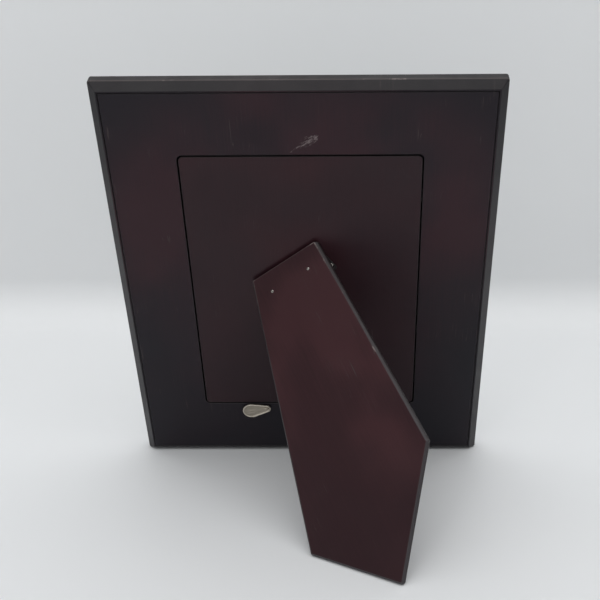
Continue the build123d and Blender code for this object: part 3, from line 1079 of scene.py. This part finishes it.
def feather(tree, place, middle, angle, length, width):
    """The mask of a slanting scuff: widest at its head, frayed, and tapering to nothing at its tail."""
    moved = {"Vector": place, "Location": (-middle[0], -middle[1], 0)}
    centred = add(tree, "ShaderNodeMapping", moved).outputs[0]
    turned_back = add(
        tree, "ShaderNodeVectorRotate", {"Vector": centred, "Angle": -angle}, rotation_type="Z_AXIS"
    ).outputs[0]
    parts = add(tree, "ShaderNodeSeparateXYZ", {0: turned_back}).outputs
    along = sum_of(tree, "DIVIDE", parts["X"], length / 2)
    beside = sum_of(tree, "ABSOLUTE", sum_of(tree, "DIVIDE", parts["Y"], width / 2))
    fullness = ramped(tree, along, -1.0, 0.5, 0.25, 1.0)
    end = ramped(tree, along, 0.75, 1.0, 1.0, 0.0)
    start = ramped(tree, along, -1.0, -0.8)
    hairs = noise(tree, stretched(tree, turned_back, (330, 1100, 0)), 1.0, 3.0, 0.7)
    body = sum_of(tree, "SUBTRACT", sum_of(tree, "MULTIPLY", fullness, end), beside, clamp=True)
    frayed = ramped(tree, sum_of(tree, "MULTIPLY_ADD", body, 0.22, hairs), 0.60, 0.76)
    frayed = sum_of(tree, "MULTIPLY", frayed, ramped(tree, body, 0.0, 0.12))
    on_face = ramped(tree, add(tree, "ShaderNodeSeparateXYZ", {0: place}).outputs["Z"], 0.0, 0.0005)
    return sum_of(tree, "MULTIPLY", sum_of(tree, "MULTIPLY", frayed, start), on_face)


# %% The frame, with the pale scuff over its pocket
frame_finish, tree, shader, place = lacquered_board(
    "frame lacquer",
    thick=(0.0042, 0.0038, 0.0080),
    thin=(0.0270, 0.0072, 0.0120),
    patch_size=0.075,
    thin_spot=((0.0, 0.165), 0.085, 0.135),
    thin_range=(0.80, 0.12),
    rub_heights=(0.10, 0.26),
    rub_range=(0.05, 0.40),
    bevel_shade=0.017,
    # painted light and shade on the frame's bevels: paler low on the frame, darker at its top
    bevel_painted_light=(0.90, 0.0),
)
scuff = feather(tree, place, (0.0014, 0.2312), math.radians(35), 0.0225, 0.0072)
marked(tree, shader, sum_of(tree, "MULTIPLY", scuff, 0.60), (0.24, 0.20, 0.20))
dress(frame_finish, frame_board)

# %% The panel and the leg
panel_finish = lacquered_board(
    "panel lacquer",
    thick=(0.0130, 0.0048, 0.0082),
    thin=(0.0310, 0.0085, 0.0120),
    patch_size=0.09,
    thin_spot=((-0.02, 0.21), 0.03, 0.16),
    thin_range=(0.75, 0.3),
    rub_heights=(0.0, 0.2),
    rub_range=(0.1, 0.1),
    bevel_shade=0.012,
    bevel_painted_light=(0.2, 0.2),
)[0]
dress(panel_finish, panel_board)
leg_finish = lacquered_board(
    "leg lacquer",
    thick=(0.0150, 0.0027, 0.0050),
    thin=(0.0410, 0.0115, 0.0145),
    patch_size=0.06,
    thin_spot=((0.0, -0.01), 0.04, 0.17),
    thin_range=(0.90, 0.35),
    rub_heights=(-0.17, 0.0),
    rub_range=(0.2, 0.4),
    bevel_shade=0.027,
    # painted light and shade on the leg's bevels: paler toward the foot, darker at the top where the leg
    # meets the panel
    bevel_painted_light=(0.70, 0.15),
)[0]
dress(leg_finish, leg_board)

# %% [markdown]
# ## Hinge steel, bright steel and nickel
#
# The hinge is steel under a thin dark paint, a little worn along its edges. Pin and rivets are plain bright
# steel with fine turning marks. The button is satin nickel: metallic, with a brushed grain along it, and
# polished on the rim by use.

# %% Painted hinge steel
hinge_finish, tree, shader, place = new_material("hinge paint")
handled = use(tree, handling_group, Place=place, Cloud_Size=0.006)
rubbed = use(tree, rub_group, Place=place, Amount=0.3, Patch_Size=0.002)["Mask"]
paint_tone = mixed(tree, handled["Smudges"], (0.009, 0.007, 0.008, 1), (0.022, 0.016, 0.016, 1))
paint_grain = noise(tree, place, 2600.0, 3.0, 0.6)
hinge_looks = {
    "Base Color": mixed(tree, rubbed, paint_tone, (0.30, 0.28, 0.26, 1)),
    "Metallic": sum_of(tree, "MULTIPLY", rubbed, 0.9),
    "Roughness": ramped(tree, handled["Smudges"], 0.3, 0.7, 0.34, 0.5),
    "Normal": bumped(tree, paint_grain, 0.00002, 0.6),
}
fill(tree, shader, hinge_looks)
dress(hinge_finish, panel_leaf, leg_leaf)

# %% Bright steel for pin and rivets
steel_finish, tree, shader, place = new_material("bright steel")
handled = use(tree, handling_group, Place=place, Cloud_Size=0.002)
turning = noise(tree, stretched(tree, place, (300, 6000, 300)), 1.0, 3.0, 0.6)
steel_looks = {
    "Base Color": mixed(tree, handled["Smudges"], (0.20, 0.185, 0.17, 1), (0.42, 0.39, 0.36, 1)),
    "Metallic": 1.0,
    "Roughness": ramped(tree, handled["Smudges"], 0.3, 0.7, 0.14, 0.26),
    "Normal": bumped(tree, turning, 0.00001, 0.5),
}
fill(tree, shader, steel_looks)
dress(steel_finish, hinge_pin, leg_rivets, panel_rivets)

# %% Satin nickel for the button
nickel_finish, tree, shader, place = new_material("satin nickel")
rubbed = use(tree, rub_group, Place=place, Amount=0.75, Patch_Size=0.004)["Mask"]
brushing = noise(tree, stretched(tree, place, (140, 2000, 140)), 1.0, 4.0, 0.65)
nickel_tone = mixed(tree, ramped(tree, brushing, 0.3, 0.7), (0.30, 0.265, 0.215, 1), (0.54, 0.485, 0.405, 1))
nickel_tone = mixed(tree, rubbed, nickel_tone, (0.66, 0.60, 0.51, 1))
satin = ramped(tree, brushing, 0.2, 0.8, 0.26, 0.42)
nickel_looks = {
    "Base Color": nickel_tone,
    "Metallic": 1.0,
    "Roughness": sum_of(tree, "SUBTRACT", satin, sum_of(tree, "MULTIPLY", rubbed, 0.12)),
    "Normal": bumped(tree, brushing, 0.000012, 0.5),
}
fill(tree, shader, nickel_looks)
dress(nickel_finish, button, button_pin)

# %% [markdown]
# ## Glass, print and card
#
# Window glass is nearly invisible face on and green at its edge. Rays that only ask whether light gets
# through are let past a clear shader, which keeps the print behind it lit without waiting for caustics.
# The print is a plain landscape of sky and hills with a white border, made from nodes. The card is brown
# liner with fibres in it.

# %% Clear glass
glass_finish, tree, shader, place = new_material("clear glass")
handled = use(tree, handling_group, Place=place, Cloud_Size=0.04)
glass_looks = {
    "Base Color": (0.93, 0.97, 0.95, 1),
    "Transmission Weight": 1.0,
    "IOR": 1.5,
    "Roughness": ramped(tree, handled["Smudges"], 0.45, 0.8, 0.0, 0.05),
}
fill(tree, shader, glass_looks)
asks_for_light = add(tree, "ShaderNodeLightPath").outputs["Is Shadow Ray"]
clear_for(tree, shader, asks_for_light, (0.95, 0.97, 0.96, 1))
dress(glass_finish, glass)

# %% A printed landscape
print_finish, tree, shader, place = new_material("printed landscape")
print_axes = add(tree, "ShaderNodeSeparateXYZ", {0: place}).outputs
print_x = print_axes["X"]
print_y = print_axes["Y"]
picture_half = (0.0535, 0.0790)
sky_height = ramped(tree, print_y, 0.0, 0.08)
scenery = mixed(tree, sky_height, (0.72, 0.72, 0.62, 1), (0.20, 0.42, 0.68, 1))
cloud_place = stretched(tree, place, (18, 55, 1))
clouds = ramped(tree, noise(tree, cloud_place, 1.0, 5.0, 0.6), 0.52, 0.72)
clouds = sum_of(tree, "MULTIPLY", clouds, ramped(tree, print_y, 0.005, 0.04))
scenery = mixed(tree, clouds, scenery, (0.88, 0.88, 0.86, 1))
hills = [
    (3.1, 0.012, 0.045, 22.0, (0.30, 0.40, 0.46, 1), (0.36, 0.46, 0.50, 1)),
    (7.7, -0.006, 0.040, 30.0, (0.13, 0.25, 0.18, 1), (0.20, 0.33, 0.20, 1)),
    (1.9, -0.028, 0.030, 26.0, (0.10, 0.20, 0.06, 1), (0.26, 0.34, 0.09, 1)),
    (5.3, -0.052, 0.022, 34.0, (0.05, 0.11, 0.03, 1), (0.16, 0.22, 0.06, 1)),
]
for seed, base, swell, pitch, dark, light in hills:
    along = sum_of(tree, "MULTIPLY_ADD", print_x, pitch, seed)
    ridge = add(tree, "ShaderNodeTexNoise", {"W": along, "Scale": 1.0}, noise_dimensions="1D")
    crest = sum_of(tree, "MULTIPLY_ADD", ridge.outputs["Fac"], swell, base - swell / 2)
    below = ramped(tree, sum_of(tree, "SUBTRACT", crest, print_y), 0.0, 0.0006)
    growth = noise(tree, stretched(tree, place, (pitch * 9, pitch * 16, 1)), 1.0, 5.0, 0.65)
    ground = mixed(tree, ramped(tree, growth, 0.35, 0.65), dark, light)
    scenery = mixed(tree, below, scenery, ground)
outside_x = sum_of(tree, "SUBTRACT", sum_of(tree, "ABSOLUTE", print_x), picture_half[0])
outside_y = sum_of(tree, "SUBTRACT", sum_of(tree, "ABSOLUTE", print_y), picture_half[1])
border = ramped(tree, sum_of(tree, "MAXIMUM", outside_x, outside_y), -0.0001, 0.0001)
scenery = mixed(tree, border, scenery, (0.80, 0.79, 0.76, 1))
paper_tooth = noise(tree, place, 4000.0, 2.0, 0.5)
print_looks = {
    "Base Color": scenery,
    "Roughness": ramped(tree, paper_tooth, 0.2, 0.8, 0.38, 0.5),
    "Normal": bumped(tree, paper_tooth, 0.00001, 0.4),
}
fill(tree, shader, print_looks)
dress(print_finish, print_sheet)

# %% Brown card
card_finish, tree, shader, place = new_material("brown card")
pulp = noise(tree, place, 900.0, 5.0, 0.7)
ribs = noise(tree, stretched(tree, place, (6, 900, 6)), 1.0, 2.0, 0.5)
card_tone = mixed(tree, ramped(tree, pulp, 0.3, 0.7), (0.24, 0.145, 0.075, 1), (0.36, 0.235, 0.130, 1))
card_tone = mixed(tree, sum_of(tree, "MULTIPLY", ribs, 0.3), card_tone, (0.20, 0.12, 0.06, 1))
card_looks = {
    "Base Color": card_tone,
    "Roughness": ramped(tree, pulp, 0.3, 0.7, 0.8, 0.95),
    "Normal": bumped(tree, pulp, 0.00006, 0.7),
}
fill(tree, shader, card_looks)
dress(card_finish, filler_card)

# %% [markdown]
# ## A pale table and a backdrop
#
# The object stands in a small light tent: a pale sheet lies on the table and curves up behind it. It is
# one strip of quads with a quarter circle between floor and wall, so there is no line where they meet. The
# paper is given only one visible side, so that someone who walks round the back of the wall still sees
# the picture side of the frame.

# %% The sweep
wall_distance = -0.285
wall_height = 2.4
bend_radius = 0.035
bend_steps = 16
sweep_half_width = 3.0
sweep_builder = bmesh.new()
sweep_path = [(6.0, 0.0), (0.8, 0.0), (0.0, 0.0)]
for k in range(bend_steps + 1):
    angle = math.pi / 2 * k / bend_steps
    y = wall_distance + bend_radius * (1 - math.sin(angle))
    sweep_path.append((y, bend_radius * (1 - math.cos(angle))))
sweep_path.append((wall_distance, wall_height))
sweep_rows = []
for y, z in sweep_path:
    left = sweep_builder.verts.new((-sweep_half_width, y, z))
    right = sweep_builder.verts.new((sweep_half_width, y, z))
    sweep_rows.append((left, right))
for (left, right), (next_left, next_right) in zip(sweep_rows, sweep_rows[1:]):
    sweep_builder.faces.new((right, left, next_left, next_right))
sweep_mesh = bpy.data.meshes.new("sweep")
sweep_builder.to_mesh(sweep_mesh)
sweep_builder.free()
sweep_mesh.shade_smooth()
remember_place(sweep_mesh)
sweep = bpy.data.objects.new("sweep", sweep_mesh)
bpy.context.scene.collection.objects.link(sweep)
print("sweep faces:", len(sweep_mesh.polygons), "wall faces", sweep_mesh.polygons[-1].normal[:])

# %% Backdrop paper
paper_finish, tree, shader, place = new_material("backdrop paper")
paper_cloud = noise(tree, place, 3.0, 3.0, 0.5)
paper_tone = mixed(tree, paper_cloud, (0.72, 0.73, 0.74, 1), (0.76, 0.77, 0.775, 1))
paper_roughness = ramped(tree, paper_cloud, 0.3, 0.7, 0.55, 0.65)
fill(tree, shader, {"Base Color": paper_tone, "Roughness": paper_roughness})
clear_for(tree, shader, add(tree, "ShaderNodeNewGeometry").outputs["Backfacing"])
dress(paper_finish, sweep)

# %% [markdown]
# ## Soft studio light
#
# A wide panel of light hangs over the table, a little to the right and toward the camera, so the leg casts
# a soft shadow on the panel behind it. The world adds an even fill, which is what the dark lacquer
# mirrors. A small, weak lamp near the camera gives the rivets and the button's rim their points of light,
# and a weak panel aimed level at the wall brightens it without lighting the table.


# %% Lights and world
def soft_panel(name, size, power, place, aim):
    """A square area light at a place, aimed at a point."""
    data = bpy.data.lights.new(name, "AREA")
    data.size = size
    data.energy = power
    light = bpy.data.objects.new(name, data)
    bpy.context.scene.collection.objects.link(light)
    light.location = place
    light.rotation_mode = "QUATERNION"
    light.rotation_quaternion = (Vector(aim) - Vector(place)).to_track_quat("-Z", "Y")


soft_panel("overhead", 1.9, 19.8, (-0.05, 0.2, 1.5), (0, -0.05, 0.05))
soft_panel("near camera", 0.12, 0.5, (0.35, 0.9, 0.8), (0, 0, 0.1))
soft_panel("wall wash", 0.6, 1.3, (0.08, 0.0, 0.85), (0.08, -1.0, 0.85))
world = bpy.data.worlds.new("studio")
world.use_nodes = True
background = world.node_tree.nodes["Background"]
fill(world.node_tree, background, {"Color": (0.97, 0.985, 1.0, 1), "Strength": 0.48})
bpy.context.scene.world = world
bpy.context.scene.view_settings.view_transform = "Standard"
